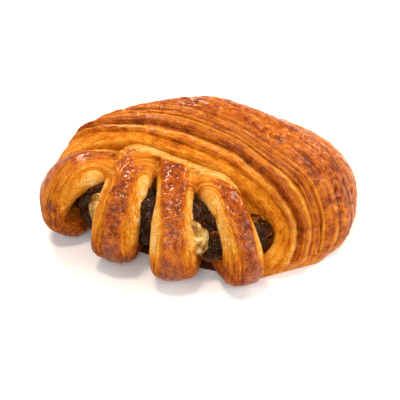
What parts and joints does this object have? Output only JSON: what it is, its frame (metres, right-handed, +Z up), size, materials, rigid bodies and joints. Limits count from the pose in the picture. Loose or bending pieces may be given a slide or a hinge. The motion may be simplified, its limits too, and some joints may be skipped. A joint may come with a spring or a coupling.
{
  "type": "danish pastry",
  "caption": "Bear claw danish: laminated dough folded over a dark fruit filling, its front edge slashed into toes that arch down to the plate.",
  "frame": {"origin": "middle of the bounding box, at the height of the flat underside", "axes": "+X along the pastry's long side, towards the end with no toes; +Z up; the toes point to -Y"},
  "size_m": [0.141, 0.0968, 0.0495],
  "materials": {
    "baked_dough": "satin",
    "raisin_filling": "gloss",
    "custard": "satin"
  },
  "bodies": {
    "root": {"dough": "baked_dough", "raisin_filling": "raisin_filling", "custard": "custard"}
  },
  "joints": []
}
